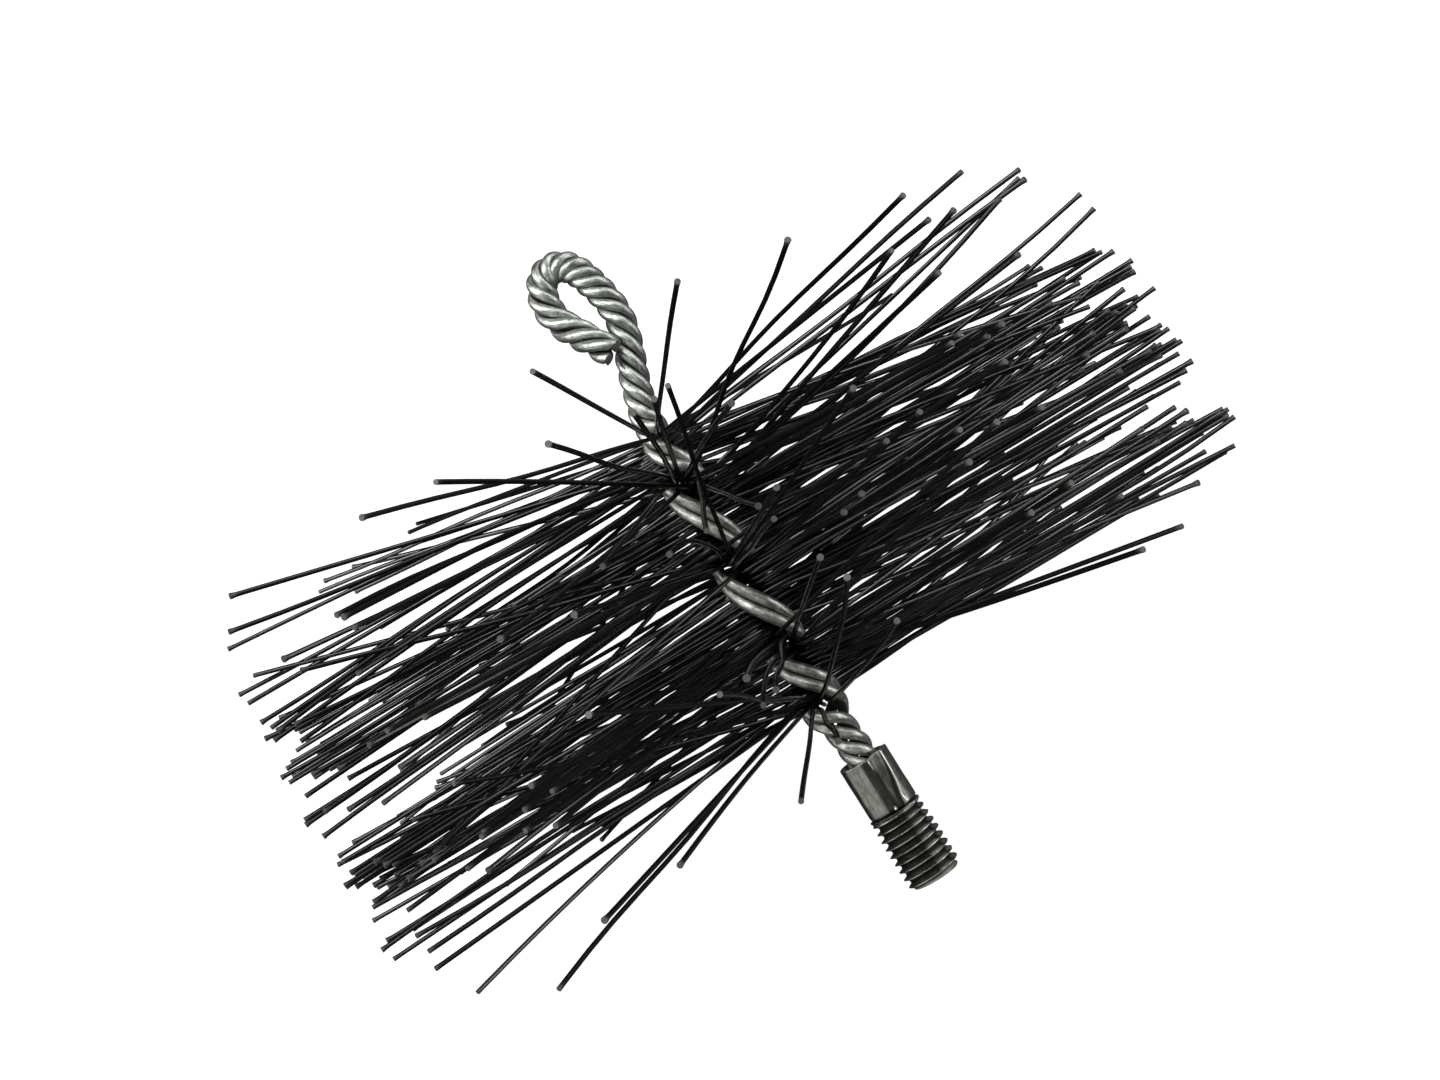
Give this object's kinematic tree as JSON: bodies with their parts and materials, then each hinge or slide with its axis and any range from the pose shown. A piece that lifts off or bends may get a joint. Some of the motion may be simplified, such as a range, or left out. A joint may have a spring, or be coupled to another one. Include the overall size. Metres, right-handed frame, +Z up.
{
  "type": "chimney sweep brush",
  "caption": "Chimney sweep brush: stiff plastic bristles fanned from a twisted wire stem, with a pull eye at one end and a crimped ferrule with a threaded rod stud at the other.",
  "frame": {"origin": "centre of the threaded stud's flat end face", "axes": "+X runs along the stem and out of the stud, the way a rod leaves; +Y is level across the brush; +Z is up, away from what the brush lies on"},
  "size_m": [0.148, 0.2003, 0.1702],
  "materials": {
    "bristle": "extruded black polypropylene monofilament, semi-gloss, paler where the tips were cut",
    "galvanised_wire": "hot-dip galvanised steel wire, satin with mottled zinc",
    "turned_steel": "turned and crimped free-cutting steel, lightly oiled, dark brownish grey"
  },
  "bodies": {
    "root": {"bristle_tuft_01": "bristle", "bristle_tuft_02": "bristle", "bristle_tuft_03": "bristle", "bristle_tuft_04": "bristle", "bristle_tuft_05": "bristle", "bristle_tuft_06": "bristle", "bristle_tuft_07": "bristle", "bristle_tuft_08": "bristle", "bristle_tuft_09": "bristle", "bristle_tuft_10": "bristle", "bristle_tuft_11": "bristle", "bristle_tuft_12": "bristle", "bristle_tuft_13": "bristle", "bristle_tuft_14": "bristle", "bristle_tuft_15": "bristle", "bristle_tuft_16": "bristle", "bristle_tuft_17": "bristle", "bristle_tuft_18": "bristle", "bristle_tuft_19": "bristle", "bristle_tuft_20": "bristle", "bristle_tuft_21": "bristle", "bristle_tuft_22": "bristle", "bristle_tuft_23": "bristle", "bristle_tuft_24": "bristle", "bristle_tuft_25": "bristle", "bristle_tuft_26": "bristle", "bristle_tuft_27": "bristle", "bristle_tuft_28": "bristle", "bristle_tuft_29": "bristle", "bristle_tuft_30": "bristle", "bristle_tuft_31": "bristle", "bristle_tuft_32": "bristle", "bristle_tuft_33": "bristle", "bristle_tuft_34": "bristle", "bristle_tuft_35": "bristle", "bristle_tuft_36": "bristle", "bristle_tuft_37": "bristle", "bristle_tuft_38": "bristle", "bristle_tuft_39": "bristle", "bristle_tuft_40": "bristle", "bristle_tuft_41": "bristle", "bristle_tuft_42": "bristle", "bristle_tuft_43": "bristle", "bristle_tuft_44": "bristle", "bristle_tuft_45": "bristle", "bristle_tuft_46": "bristle", "bristle_tuft_47": "bristle", "bristle_tuft_48": "bristle", "bristle_tuft_49": "bristle", "bristle_tuft_50": "bristle", "bristle_tuft_51": "bristle", "bristle_tuft_52": "bristle", "bristle_tuft_53": "bristle", "bristle_tuft_54": "bristle", "stem_wire_1": "galvanised_wire", "stem_wire_2": "galvanised_wire", "stem_wire_3": "galvanised_wire", "stem_wire_4": "galvanised_wire", "threaded_ferrule": "turned_steel"}
  },
  "joints": []
}
